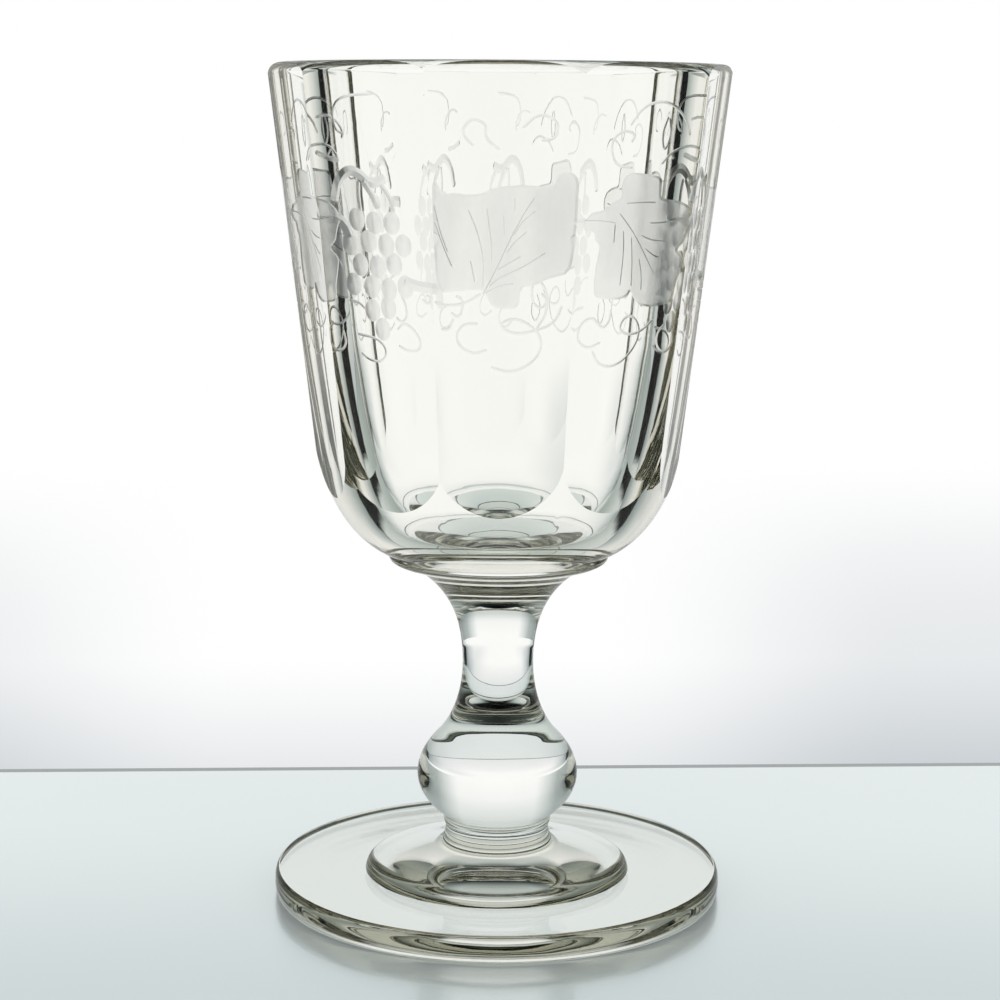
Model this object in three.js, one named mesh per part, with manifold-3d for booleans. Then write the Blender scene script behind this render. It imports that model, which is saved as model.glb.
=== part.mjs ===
// An antique clear glass goblet: a thick bowl with ten flat cut panels, a collar under it,
// a solid stem with a bold knop, a thin wafer and a thick round foot with a raised centre.
// Each piece is one gather of glass, joined to the next at a flat round seat.
// Millimetres, +Z up, origin at the middle of the underside of the foot. The front is -Y.
import * as THREE from 'three';
import { mergeVertices, toCreasedNormals } from 'three/addons/utils/BufferGeometryUtils.js';
import Module from 'manifold-3d';

const wasm = await Module();
wasm.setup();

// Foot: a thick disc, slightly dished on top, with a low dome and a collar at its centre
const footRadius = 42.5;
const footEdgeHeight = 4.9;
const footEdgeRound = 0.9;
const footDish = 0.8;
const domeRadius = 25.2;
const domeShoulderRadius = 22.4;
const domeShoulderHeight = 6.5;
const collarBaseRadius = 11.9;
const collarBaseHeight = 9.0;
const collarRadius = 9.8;
const footHeight = 12.9;

// Wafer: the thin disc between foot and stem
const waferRadius = 9.8;
const waferThickness = 1.8;
const waferBulge = 0.35;

// Stem: a knop below, a slim waist and a flared top
const stemLength = 48.9;
const stemSeatRadius = 10.1;
const knopRadius = 15.25;
const knopHeight = 8.2;
const knopNeckRadius = 11.4;
const knopNeckHeight = 16;
const waistRadius = 6.7;
const waistHeight = 29.8;
const stemTopRadius = 17;

// Collar under the bowl
const mereseThickness = 1.8;
const mereseUnderRadius = 18.2;
const mereseRadius = 20.6;
const mereseCrestHeight = 1.3;

// Bowl: flat panels cut down the outside, measured to the corner between two panels
const bowlHeight = 90.6;
const panelCount = 10;
const cornerRadiusAtRim = 42.8;
const cornerRadiusAtHip = 34.25;
const hipHeight = 19.7;
const cutOverrun = 10;
// How far each panel is turned from its even place, as a share of its own angle. The cutting is by hand.
const panelTurnShares = [0, 0.05, 0.11, 0.04, 0, 0, 0, 0, 0.01, 0.02];

// The round blank that the panels are cut into stands proud of the corners by the allowance
const blankAllowance = 0.1;
const bowlSeatRadius = 20.2;
const bellyInset = 2.3;
const bellyHeight = 12.6;
const rimRoundHeight = 3.6;

// Cavity of the bowl, by the glass left between it and the middle of a panel
const rimWall = 2.8;
const lowWall = 3.4;
const lipInnerWidth = 2;
const lipInnerHeight = 1.6;
// Below this height the wall rounds in to the flat floor of the cavity
const cavityLowHeight = 40;
const cavityFloorRadius = 16;
const baseThickness = 5.2;

// Facets around each turned piece, and steps along each curve of its outline
const turnSegments = 60;
const curveSteps = 5;
// Faces that meet at more than this angle show an edge
const creaseAngle = Math.PI / 18;

const glassColour = 0xe9edeb;
const glassRoughness = 0.04;
const glassMetalness = 0;

// The middle of a panel lies nearer the axis than its corners
const halfPanelAngle = Math.PI / panelCount;
const flatRadiusAtRim = cornerRadiusAtRim * Math.cos(halfPanelAngle);
const flatRadiusAtHip = cornerRadiusAtHip * Math.cos(halfPanelAngle);
const blankRimRadius = cornerRadiusAtRim + blankAllowance;
const lowShare = (cavityLowHeight - hipHeight) / (bowlHeight - hipHeight);
const cavityRimRadius = flatRadiusAtRim - rimWall;
const cavityLowRadius = mix(flatRadiusAtHip, flatRadiusAtRim, lowShare) - lowWall;

function mix(from, to, share) {
  return from + (to - from) * share;
}

// Joins outline points [radius, height]. A bend gives two curve handles, each as the share of the
// step across and the share of the step up; a step without a bend is straight.
function outline(points, bends) {
  const path = new THREE.Path();
  path.moveTo(...points[0]);
  points.slice(1).forEach((to, index) => {
    const from = points[index];
    const bend = bends[index];
    if (bend) {
      path.bezierCurveTo(
        mix(from[0], to[0], bend[0]), mix(from[1], to[1], bend[1]),
        mix(from[0], to[0], bend[2]), mix(from[1], to[1], bend[3]), ...to);
    } else {
      path.lineTo(...to);
    }
  });
  return path.getPoints(curveSteps);
}

function turned(points) {
  const geometry = new THREE.LatheGeometry(points, turnSegments);
  geometry.rotateX(Math.PI / 2);
  return geometry;
}

function glassPiece(name, geometry, height) {
  const material = new THREE.MeshStandardMaterial({
    color: glassColour,
    roughness: glassRoughness,
    metalness: glassMetalness,
  });
  const mesh = new THREE.Mesh(geometry, material);
  mesh.name = name;
  mesh.position.z = height;
  return mesh;
}

function toSolid(geometry) {
  const bare = geometry.clone();
  bare.deleteAttribute('normal');
  bare.deleteAttribute('uv');
  const merged = mergeVertices(bare);
  return new wasm.Manifold(new wasm.Mesh({
    numProp: 3,
    vertProperties: merged.attributes.position.array,
    triVerts: new Uint32Array(merged.index.array),
  }));
}

function toGeometry(solid) {
  const mesh = solid.getMesh();
  const geometry = new THREE.BufferGeometry();
  geometry.setAttribute('position', new THREE.BufferAttribute(mesh.vertProperties, mesh.numProp));
  geometry.setIndex(new THREE.BufferAttribute(mesh.triVerts, 1));
  return toCreasedNormals(geometry, creaseAngle);
}

// Foot outline, from the middle of the underside round the edge to the seat of the wafer
function footOutline() {
  const restRadius = footRadius - footEdgeRound;
  const plateHeight = footEdgeHeight - footDish;
  return outline(
    [
      [0, 0],
      [restRadius, 0],
      [footRadius, footEdgeHeight / 2],
      [restRadius, footEdgeHeight],
      [domeRadius, plateHeight],
      [domeShoulderRadius, domeShoulderHeight],
      [collarBaseRadius, collarBaseHeight],
      [collarRadius, footHeight],
      [0, footHeight],
    ],
    [
      null,
      [0.6, 0, 1, 0.3],
      [0, 0.7, 0.4, 1],
      [0.25, 0.1, 0.7, 1],
      [0.1, 0.6, 0.35, 0.95],
      [0.35, 0.12, 0.8, 0.75],
      [0.7, 0.12, 1, 0.5],
      null,
    ]);
}

function waferOutline() {
  const crestRadius = waferRadius + waferBulge;
  return outline(
    [
      [0, 0],
      [waferRadius, 0],
      [crestRadius, waferThickness / 2],
      [waferRadius, waferThickness],
      [0, waferThickness],
    ],
    [null, [0.7, 0.05, 1, 0.5], [0, 0.5, 0.3, 0.95], null]);
}

function stemOutline() {
  return outline(
    [
      [0, 0],
      [stemSeatRadius, 0],
      [knopRadius, knopHeight],
      [knopNeckRadius, knopNeckHeight],
      [waistRadius, waistHeight],
      [stemTopRadius, stemLength],
      [0, stemLength],
    ],
    [
      null,
      [0.6, 0.28, 1, 0.6],
      [0, 0.41, 0.53, 0.77],
      [0.47, 0.16, 1, 0.51],
      [0, 0.52, 0.36, 0.8],
      null,
    ]);
}

function mereseOutline() {
  return outline(
    [
      [0, 0],
      [mereseUnderRadius, 0],
      [mereseRadius, mereseCrestHeight],
      [bowlSeatRadius, mereseThickness],
      [0, mereseThickness],
    ],
    [null, [0.5, 0.05, 1, 0.45], [0, 0.5, 0.5, 0.9], null]);
}

// Bowl outline before cutting: up the outside, over the lip and down the cavity
function bowlOutline() {
  return outline(
    [
      [0, 0],
      [bowlSeatRadius, 0],
      [cornerRadiusAtHip - bellyInset, bellyHeight],
      [cornerRadiusAtHip + blankAllowance, hipHeight],
      [blankRimRadius, bowlHeight - rimRoundHeight],
      [cavityRimRadius + lipInnerWidth, bowlHeight],
      [cavityRimRadius, bowlHeight - lipInnerHeight],
      [cavityLowRadius, cavityLowHeight],
      [cavityFloorRadius, baseThickness],
      [0, baseThickness],
    ],
    [
      null,
      [0.42, 0.14, 0.78, 0.5],
      [0.4, 0.3, 0.8, 0.7],
      [0.35, 0.22, 0.78, 0.7],
      [0, 0.62, 0.42, 1],
      [0.55, 0, 1, 0.4],
      null,
      [0.27, 0.75, 0.6, 1],
      null,
    ]);
}

// The tool that cuts one panel: a tilted block whose inner face is the plane of the panel
function panelCutter(index) {
  const lean = Math.atan2(flatRadiusAtRim - flatRadiusAtHip, bowlHeight - hipHeight);
  const length = bowlHeight / Math.cos(lean) + 2 * cutOverrun;
  const block = new THREE.BoxGeometry(2 * blankRimRadius, cutOverrun, length);
  block.translate(0, -cutOverrun / 2, length / 2 - cutOverrun);
  block.rotateX(lean);
  block.translate(0, Math.tan(lean) * hipHeight - flatRadiusAtHip, 0);
  block.rotateZ(2 * halfPanelAngle * (index + panelTurnShares[index]));
  return toSolid(block);
}

function cutBowl() {
  let bowl = toSolid(turned(bowlOutline()));
  for (let index = 0; index < panelCount; index += 1) {
    bowl = bowl.subtract(panelCutter(index));
  }
  return toGeometry(bowl);
}

const waferHeight = footHeight;
const stemHeight = waferHeight + waferThickness;
const mereseHeight = stemHeight + stemLength;
const bowlSeatHeight = mereseHeight + mereseThickness;

const goblet = new THREE.Group();
goblet.add(
  glassPiece('foot', turned(footOutline()), 0),
  glassPiece('wafer', turned(waferOutline()), waferHeight),
  glassPiece('stem', turned(stemOutline()), stemHeight),
  glassPiece('merese', turned(mereseOutline()), mereseHeight),
  glassPiece('bowl', cutBowl(), bowlSeatHeight),
);

export default goblet;
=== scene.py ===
"""An antique clear glass goblet with a panel-cut, vine-engraved bowl, on a pale glossy table."""
import math

import bpy
import numpy as np
from mathutils import Matrix, Vector
from mathutils.geometry import delaunay_2d_cdt


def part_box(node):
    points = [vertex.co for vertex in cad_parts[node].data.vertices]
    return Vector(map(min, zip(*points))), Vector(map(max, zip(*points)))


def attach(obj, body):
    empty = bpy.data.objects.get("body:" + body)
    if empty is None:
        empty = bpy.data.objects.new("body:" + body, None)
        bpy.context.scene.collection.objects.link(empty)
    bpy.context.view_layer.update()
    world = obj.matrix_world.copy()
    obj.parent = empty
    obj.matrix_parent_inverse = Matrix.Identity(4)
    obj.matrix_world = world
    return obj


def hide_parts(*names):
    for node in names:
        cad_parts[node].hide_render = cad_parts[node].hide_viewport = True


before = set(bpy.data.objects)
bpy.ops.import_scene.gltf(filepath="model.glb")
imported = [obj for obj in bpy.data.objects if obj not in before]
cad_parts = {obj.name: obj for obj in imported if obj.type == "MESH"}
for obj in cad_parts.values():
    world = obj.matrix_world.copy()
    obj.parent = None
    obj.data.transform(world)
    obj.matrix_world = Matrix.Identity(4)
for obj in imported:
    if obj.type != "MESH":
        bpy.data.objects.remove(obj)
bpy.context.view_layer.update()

MM = 0.001

# Camera, fitted to the ellipses of the foot, the collar and the rim
CAMERA_LENS = 85.0
CAMERA_DISTANCE = 437.2 * MM
CAMERA_ASIDE = 0.2 * MM
CAMERA_HEIGHT = 148.8 * MM
CAMERA_PITCH = math.radians(9.53)
CAMERA_ROLL = math.radians(0.36)
CAMERA_CLIP = 10 * MM
# Light is followed for so many bounces: in all and through glass, in mirrors, and straight through
MAX_BOUNCES, MIRROR_BOUNCES, CLEAR_BOUNCES = 24, 12, 32

# Facets around each turned piece and across each panel, and steps along each curve of an outline
TURN_STEPS = 288
PANEL_STEPS = 30
CURVE_STEPS, BLANK_STEPS, CAVITY_STEPS = 20, 60, 36
# Rows of faces on the bowl: below the panels, on them below and above the engraved band, and on the lip
LOW_ROWS, PANEL_ROWS, LIP_ROWS = 24, 4, 10
# How often the span is halved in which the blank and a panel cross
CROSSING_HALVINGS = 40

# Foot
FOOT_EDGE_HEIGHT = 4.9 * MM
FOOT_EDGE_ROUND = 0.9 * MM
FOOT_DISH = 0.8 * MM
DOME_RADIUS = 25.2 * MM
DOME_SHOULDER_RADIUS = 22.4 * MM
DOME_SHOULDER_HEIGHT = 6.5 * MM
COLLAR_BASE_RADIUS = 11.9 * MM
COLLAR_BASE_HEIGHT = 9.0 * MM
COLLAR_RADIUS = 9.8 * MM

# Wafer
WAFER_RADIUS = 9.8 * MM
WAFER_BULGE = 0.35 * MM

# Stem
STEM_SEAT_RADIUS = 10.1 * MM
KNOP_RADIUS = 15.25 * MM
KNOP_HEIGHT = 8.2 * MM
KNOP_NECK_RADIUS = 11.4 * MM
KNOP_NECK_HEIGHT = 16 * MM
WAIST_RADIUS = 6.7 * MM
WAIST_HEIGHT = 29.8 * MM
STEM_TOP_RADIUS = 17 * MM

# Collar under the bowl
MERESE_UNDER_RADIUS = 18.2 * MM
MERESE_RADIUS = 20.6 * MM
MERESE_CREST_HEIGHT = 1.3 * MM

# Bowl
PANEL_COUNT = 10
PANEL_TURN_SHARES = [0, 0.05, 0.11, 0.04, 0, 0, 0, 0, 0.01, 0.02]
CORNER_RADIUS_AT_RIM = 42.8 * MM
CORNER_RADIUS_AT_HIP = 34.25 * MM
HIP_HEIGHT = 19.7 * MM
BLANK_ALLOWANCE = 0.1 * MM
BOWL_SEAT_RADIUS = 20.2 * MM
BELLY_INSET = 2.3 * MM
BELLY_HEIGHT = 12.6 * MM
RIM_ROUND_HEIGHT = 3.6 * MM
RIM_WALL = 2.8 * MM
LOW_WALL = 3.4 * MM
LIP_INNER_WIDTH = 2.0 * MM
LIP_INNER_HEIGHT = 1.6 * MM
CAVITY_LOW_HEIGHT = 40 * MM
CAVITY_FLOOR_RADIUS = 16 * MM
BASE_THICKNESS = 5.2 * MM

CREASE_ANGLE = math.radians(12)
# Handles that make a bend straight, but still cut it into steps
EVEN_STEPS = (1 / 3, 1 / 3, 2 / 3, 2 / 3)
# Heights and radii no further apart than this are the same
SAME = 1e-7


def mix(start, end, share):
    return start + (end - start) * share


def curve(start, end, bend, steps):
    """Points after start up to end, as (radius, height). A bend gives two handles as shares of the way."""
    if bend is None:
        return [end]
    handles = [
        (mix(start[0], end[0], bend[0]), mix(start[1], end[1], bend[1])),
        (mix(start[0], end[0], bend[2]), mix(start[1], end[1], bend[3])),
    ]
    found = []
    for step in range(1, steps + 1):
        t = step / steps
        weights = ((1 - t) ** 3, 3 * t * (1 - t) ** 2, 3 * t * t * (1 - t), t ** 3)
        pulls = list(zip(weights, (start, *handles, end)))
        found.append(tuple(sum(weight * corner[axis] for weight, corner in pulls) for axis in (0, 1)))
    return found


def outline(points, bends, steps=CURVE_STEPS):
    found = [points[0]]
    for start, end, bend in zip(points, points[1:], bends):
        found += curve(start, end, bend, steps)
    return found


# Materials

GLASS_COLOUR = (0.992, 0.992, 0.978, 1)
GLASS_IOR = 1.52
# Reflections have the share that physics gives them, to this power, which makes them weaker
GLOSS_POWER = 1.4
SHADOW_COLOUR = (0.90, 0.915, 0.915, 1)
# The mirror of the polished face from outside. What is reflected inside the glass has gone a long way
# through it and comes out darker and warmer.
OUTER_COLOUR = (0.85, 0.85, 0.85, 1)
INNER_COLOUR = (0.87, 0.86, 0.82, 1)
# Old glass is never quite even: slow waves, drawn out sideways, and their depth
WAVES_PER_METRE = 180
WAVE_STRETCH = (0.45, 0.45, 1.5)
WAVE_DEPTH = 0.02 * MM
# The wheel leaves a grain of fine upright scratches and a slightly uneven white
GRAIN_PER_METRE = 2600
GRAIN_STRETCH = (1, 1, 0.22)
GRAIN_DEPTH = 0.03 * MM
MOTTLE_PER_METRE = 900
MOTTLE_STRETCH = (1, 1, 0.35)
SOFT_DETAIL, MOTTLE_DETAIL = 2.0, 4.0
MATT_ROUGHNESS = 0.28
MATT_LIGHT, MATT_DARK = (1, 1, 0.985, 1), (0.86, 0.86, 0.84, 1)
# The ground glass has this share of plain white, and this share of the white is lit from behind
MATT_WHITE_SHARE, WHITE_BACK_SHARE = 0.06, 0.6
WHITE = (1, 1, 1, 1)
HALF_TURN_DEGREES = 180


def feed(tree, socket, value):
    """Sets a socket to a value, or links it to the output of another node."""
    if isinstance(value, bpy.types.NodeSocket):
        tree.links.new(value, socket)
    else:
        socket.default_value = value


def add_node(tree, kind, **inputs):
    """A node whose named inputs are set or linked. An underscore stands for a space in a name."""
    node = tree.nodes.new(kind)
    for name, value in inputs.items():
        feed(tree, node.inputs[name.replace("_", " ")], value)
    return node


def mixed_shader(tree, share, first, second):
    """The shaders of two nodes, with this share of the second."""
    node = tree.nodes.new("ShaderNodeMixShader")
    for socket, value in zip(node.inputs, (share, first.outputs[0], second.outputs[0])):
        feed(tree, socket, value)
    return node


class Sums:
    """Short ways to chain nodes that work on numbers and colours in one node tree."""

    def __init__(self, tree):
        self.tree = tree

    def do(self, operation, *values, clamp=False):
        node = self.tree.nodes.new("ShaderNodeMath")
        node.operation = operation
        node.use_clamp = clamp
        for socket, value in zip(node.inputs, values):
            feed(self.tree, socket, value)
        return node.outputs[0]

    def rest(self, value):
        """What is left of 1."""
        return self.do("SUBTRACT", 1.0, value)

    def ramp(self, value, start, end):
        """0 up to start and 1 from end on, with a smooth change between them."""
        node = add_node(self.tree, "ShaderNodeMapRange", Value=value, From_Min=start, From_Max=end)
        node.interpolation_type = "SMOOTHSTEP"
        return node.outputs["Result"]

    def hump(self, value, middle, half, fade):
        """1 within half of the middle and 0 from fade further out."""
        off = self.do("ABSOLUTE", self.do("SUBTRACT", value, middle))
        return self.rest(self.ramp(off, half, half + fade))

    def graph(self, angle, points):
        """Brightness at an angle between 0 and 180 degrees, along straight lines between the points."""
        node = self.tree.nodes.new("ShaderNodeValToRGB")
        self.tree.links.new(self.do("DIVIDE", angle, math.pi), node.inputs[0])
        stops = node.color_ramp.elements
        stops.remove(stops[1])
        stops[0].position = points[0][0] / HALF_TURN_DEGREES
        for degrees, _ in points[1:]:
            stops.new(degrees / HALF_TURN_DEGREES)
        for stop, (_, brightness) in zip(stops, points):
            stop.color = (brightness, brightness, brightness, 1)
        return node.outputs[0]

    def blend(self, share, first, second):
        """A colour between two, with this share of the second."""
        node = self.tree.nodes.new("ShaderNodeMix")
        node.data_type = "RGBA"
        colours = [socket for socket in node.inputs if socket.type == "RGBA"]
        for socket, value in zip([node.inputs["Factor"], *colours], (share, first, second)):
            feed(self.tree, socket, value)
        return next(socket for socket in node.outputs if socket.type == "RGBA")

    def tinted(self, brightness):
        """A grey of this brightness that leans towards the studio's tint where it is dark."""
        scale = self.tree.nodes.new("ShaderNodeVectorMath")
        scale.operation = "SCALE"
        self.tree.links.new(self.blend(brightness, GREY_TINT, WHITE), scale.inputs[0])
        self.tree.links.new(brightness, scale.inputs["Scale"])
        return scale.outputs[0]

    def split(self, vector):
        return add_node(self.tree, "ShaderNodeSeparateXYZ", Vector=vector).outputs

    def turned_away(self, x, y):
        """The angle of the direction (x, y) from the back of the room."""
        return self.do("ARCTAN2", self.do("ABSOLUTE", x), y)

    def seen_in_glass(self):
        """1 where the camera looks by way of glass, with no matt surface on the way, and 0 elsewhere."""
        path = self.tree.nodes.new("ShaderNodeLightPath")
        bent = self.do("MAXIMUM", path.outputs["Is Glossy Ray"], path.outputs["Is Transmission Ray"])
        return self.do("MULTIPLY", bent, self.do("LESS_THAN", path.outputs["Diffuse Depth"], 0.5))

    def seen_by_camera(self):
        """1 where the camera looks, straight or by way of glass, and 0 elsewhere."""
        path = self.tree.nodes.new("ShaderNodeLightPath")
        return self.do("MAXIMUM", path.outputs["Is Camera Ray"], self.seen_in_glass())


def noise(tree, per_metre, stretch, detail=SOFT_DETAIL):
    """Noise that is fixed to the goblet, with so many waves to the metre before the stretch."""
    place = tree.nodes.new("ShaderNodeTexCoord")
    scale = add_node(tree, "ShaderNodeMapping", Vector=place.outputs["Object"], Scale=stretch)
    found = add_node(tree, "ShaderNodeTexNoise", Vector=scale.outputs[0], Scale=per_metre, Detail=detail)
    return found.outputs["Fac"]


def bumped(tree, height, depth):
    return add_node(tree, "ShaderNodeBump", Height=height, Strength=1.0, Distance=depth).outputs["Normal"]


def shader(name):
    material = bpy.data.materials.new(name)
    material.use_nodes = True
    material.node_tree.nodes.clear()
    output = material.node_tree.nodes.new("ShaderNodeOutputMaterial")
    return material, material.node_tree, output


def clear_glass():
    """Polished glass. Its reflections are held back a little, as in the photo."""
    material, tree, output = shader("clear_glass")
    sums = Sums(tree)
    waves = bumped(tree, noise(tree, WAVES_PER_METRE, WAVE_STRETCH), WAVE_DEPTH)
    bend = add_node(tree, "ShaderNodeBsdfRefraction", Color=GLASS_COLOUR, Roughness=0.0, IOR=GLASS_IOR,
                    Normal=waves)
    backfacing = tree.nodes.new("ShaderNodeNewGeometry").outputs["Backfacing"]
    mirror = add_node(tree, "ShaderNodeBsdfAnisotropic", Roughness=0.0, Normal=waves,
                      Color=sums.blend(backfacing, OUTER_COLOUR, INNER_COLOUR))
    fresnel = add_node(tree, "ShaderNodeFresnel", IOR=GLASS_IOR, Normal=waves)
    glass = mixed_shader(tree, sums.do("POWER", fresnel.outputs[0], GLOSS_POWER), bend, mirror)
    # Light passes straight to the table, so that the goblet's shadow is as pale as in the photo
    path = tree.nodes.new("ShaderNodeLightPath")
    passed = add_node(tree, "ShaderNodeBsdfTransparent", Color=SHADOW_COLOUR)
    whole = mixed_shader(tree, path.outputs["Is Diffuse Ray"], glass, passed)
    tree.links.new(whole.outputs[0], output.inputs["Surface"])
    return material


def seam_glass():
    """The fused seats: there is no surface left inside the glass, so light goes straight on."""
    material, tree, output = shader("fused_seat")
    clear = tree.nodes.new("ShaderNodeBsdfTransparent")
    tree.links.new(clear.outputs[0], output.inputs["Surface"])
    return material


def matt_glass():
    """The engraving, left as the wheel ground it."""
    material, tree, output = shader("ground_glass")
    grain = bumped(tree, noise(tree, GRAIN_PER_METRE, GRAIN_STRETCH), GRAIN_DEPTH)
    mottle = noise(tree, MOTTLE_PER_METRE, MOTTLE_STRETCH, MOTTLE_DETAIL)
    colour = Sums(tree).blend(mottle, MATT_LIGHT, MATT_DARK)
    glass = add_node(tree, "ShaderNodeBsdfPrincipled", Base_Color=colour, Roughness=MATT_ROUGHNESS,
                     IOR=GLASS_IOR, Transmission_Weight=1.0, Normal=grain)
    front = add_node(tree, "ShaderNodeBsdfDiffuse", Color=colour, Normal=grain)
    back = add_node(tree, "ShaderNodeBsdfTranslucent", Color=colour, Normal=grain)
    white = mixed_shader(tree, WHITE_BACK_SHARE, front, back)
    ground = mixed_shader(tree, MATT_WHITE_SHARE, glass, white)
    tree.links.new(ground.outputs[0], output.inputs["Surface"])
    return material


CLEAR, SEAM, MATT = 0, 1, 2
materials = [clear_glass(), seam_glass(), matt_glass()]


# Turned pieces

def round_place(radius, angle, height):
    """The place at this radius and height. Angles start at the front, -Y, and run towards +X."""
    return radius * math.sin(angle), -radius * math.cos(angle), height


def node_height(node):
    low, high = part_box(node)
    return high[2] - low[2]


def add_piece(node, verts, faces, slots):
    """The visible piece for a node. Slots say which of the materials each face has."""
    name = node + "_glass"
    mesh = bpy.data.meshes.new(name)
    mesh.from_pydata(verts, [], faces)
    for material in materials:
        mesh.materials.append(material)
    for face, slot in zip(mesh.polygons, slots):
        face.material_index = slot
        face.use_smooth = True
    mesh.set_sharp_from_angle(angle=CREASE_ANGLE)
    mesh.validate()
    piece = bpy.data.objects.new(name, mesh)
    bpy.context.scene.collection.objects.link(piece)
    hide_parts(node)
    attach(piece, "root")


def turned_piece(node, points, bends, seats):
    """An outline from axis to axis, turned about Z. Seats are the (height, radius) of its fused discs."""
    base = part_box(node)[0][2]
    profile = outline(points, bends)
    rings = profile[1:-1]
    verts = [(0, 0, base + profile[0][1])]
    for radius, height in rings:
        for step in range(TURN_STEPS):
            verts.append(round_place(radius, 2 * math.pi * step / TURN_STEPS, base + height))
    top = len(verts)
    verts.append((0, 0, base + profile[-1][1]))

    def slot_of(outer, inner):
        for height, radius in seats:
            level = abs(outer[1] - height) < SAME and abs(inner[1] - height) < SAME
            if level and max(outer[0], inner[0]) < radius + SAME:
                return SEAM
        return CLEAR

    faces, slots = [], []
    for step in range(TURN_STEPS):
        after = (step + 1) % TURN_STEPS
        faces.append((0, 1 + after, 1 + step))
        slots.append(slot_of(rings[0], profile[0]))
        for ring in range(len(rings) - 1):
            low = 1 + ring * TURN_STEPS
            high = low + TURN_STEPS
            faces.append((low + step, low + after, high + after, high + step))
            slots.append(slot_of(rings[ring], rings[ring + 1]))
        last = top - TURN_STEPS
        faces.append((last + step, last + after, top))
        slots.append(slot_of(rings[-1], profile[-1]))
    add_piece(node, verts, faces, slots)


def make_foot():
    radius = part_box("foot")[1][0]
    rest = radius - FOOT_EDGE_ROUND
    height = node_height("foot")
    points = [
        (0, 0),
        (rest, 0),
        (radius, FOOT_EDGE_HEIGHT / 2),
        (rest, FOOT_EDGE_HEIGHT),
        (DOME_RADIUS, FOOT_EDGE_HEIGHT - FOOT_DISH),
        (DOME_SHOULDER_RADIUS, DOME_SHOULDER_HEIGHT),
        (COLLAR_BASE_RADIUS, COLLAR_BASE_HEIGHT),
        (COLLAR_RADIUS, height),
        (0, height),
    ]
    bends = [
        None,
        (0.6, 0, 1, 0.3),
        (0, 0.7, 0.4, 1),
        (0.25, 0.1, 0.7, 1),
        (0.1, 0.6, 0.35, 0.95),
        (0.35, 0.12, 0.8, 0.75),
        (0.7, 0.12, 1, 0.5),
        None,
    ]
    turned_piece("foot", points, bends, [(height, WAFER_RADIUS)])


def make_wafer():
    height = node_height("wafer")
    points = [
        (0, 0),
        (WAFER_RADIUS, 0),
        (WAFER_RADIUS + WAFER_BULGE, height / 2),
        (WAFER_RADIUS, height),
        (0, height),
    ]
    bends = [None, (0.7, 0.05, 1, 0.5), (0, 0.5, 0.3, 0.95), None]
    turned_piece("wafer", points, bends, [(0, COLLAR_RADIUS), (height, STEM_SEAT_RADIUS)])


def make_stem():
    height = node_height("stem")
    points = [
        (0, 0),
        (WAFER_RADIUS, 0),
        (STEM_SEAT_RADIUS, 0),
        (KNOP_RADIUS, KNOP_HEIGHT),
        (KNOP_NECK_RADIUS, KNOP_NECK_HEIGHT),
        (WAIST_RADIUS, WAIST_HEIGHT),
        (STEM_TOP_RADIUS, height),
        (0, height),
    ]
    bends = [
        None,
        None,
        (0.6, 0.28, 1, 0.6),
        (0, 0.41, 0.53, 0.77),
        (0.47, 0.16, 1, 0.51),
        (0, 0.52, 0.36, 0.8),
        None,
    ]
    turned_piece("stem", points, bends, [(0, WAFER_RADIUS), (height, MERESE_UNDER_RADIUS)])


def make_merese():
    height = node_height("merese")
    points = [
        (0, 0),
        (STEM_TOP_RADIUS, 0),
        (MERESE_UNDER_RADIUS, 0),
        (MERESE_RADIUS, MERESE_CREST_HEIGHT),
        (BOWL_SEAT_RADIUS, height),
        (0, height),
    ]
    bends = [None, None, (0.5, 0.05, 1, 0.45), (0, 0.5, 0.5, 0.9), None]
    turned_piece("merese", points, bends, [(0, STEM_TOP_RADIUS), (height, BOWL_SEAT_RADIUS)])


# Engraving: a fruiting vine, ground matt into the panels. Places are millimetres round the bowl,
# measured on a circle of ENGRAVE_RADIUS, and millimetres above the bowl's seat.

ENGRAVE_RADIUS = 40.0
BAND_LOW, BAND_HIGH = 36.0, 86.0
LEAF_DEPTH, LEAF_EDGE = 0.2, 0.4
# The points inside a leaf: a lattice, and a ring where the slope of the edge ends. Each keeps its
# distance from the outline.
LATTICE_STEP = 1.5
LATTICE_MARGIN, RING_MARGIN = 1.6 * LEAF_EDGE, 0.9 * LEAF_EDGE
GRAPE_WIDTH, GRAPE_HEIGHT, GRAPE_DEPTH = 3.7, 4.0, 0.3
# Points round a grape, and the rings inside it, each as a share of its size and a number of points
GRAPE_STEPS = 22
GRAPE_RINGS = [(0.8, 16), (0.55, 12), (0.28, 7)]
GRAPE_SPACING, GRAPE_ROW_STEP = 4.1, 3.75
GRAPE_ROWS = (3, 4, 3, 4, 2, 1)
# The grapes sit a little unevenly: how far, and the radians that each row and each place add to a wave
GRAPE_STRAY_ASIDE, ASIDE_TURNS = 0.25, (3.1, 5.3)
GRAPE_STRAY_UP, UP_TURNS = 0.35, (2.3, 4.1)
BUNCH_PLACE = (-24.4, 63.3)
TENDRIL_WIDTH, VEIN_WIDTH = 0.5, 0.24
# How steeply a cut goes down from its sides to its middle
STEM_SLOPE, VEIN_SLOPE = 0.4, 1.0
CHAIN_STEP = 0.55
# A cut widens from a point at its end, by this share of its width each step
TAPER_SHARE, POINT_SHARE = 0.35, 0.05
# Rounding cuts this share off both ends of each side, so many times for a leaf and for a groove
CORNER_SHARE = 0.25
LEAF_ROUNDS, GROOVE_ROUNDS = 2, 3
# Sizes that count as nothing: a length that is divided by, the area of a folded face, and the gap
# between two points that become one
NO_LENGTH, NO_AREA, NO_GAP = 1e-12, 1e-6, 1e-5
# The triangulation fills the whole band, not only the shapes in it
WHOLE_HULL = 0

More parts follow.
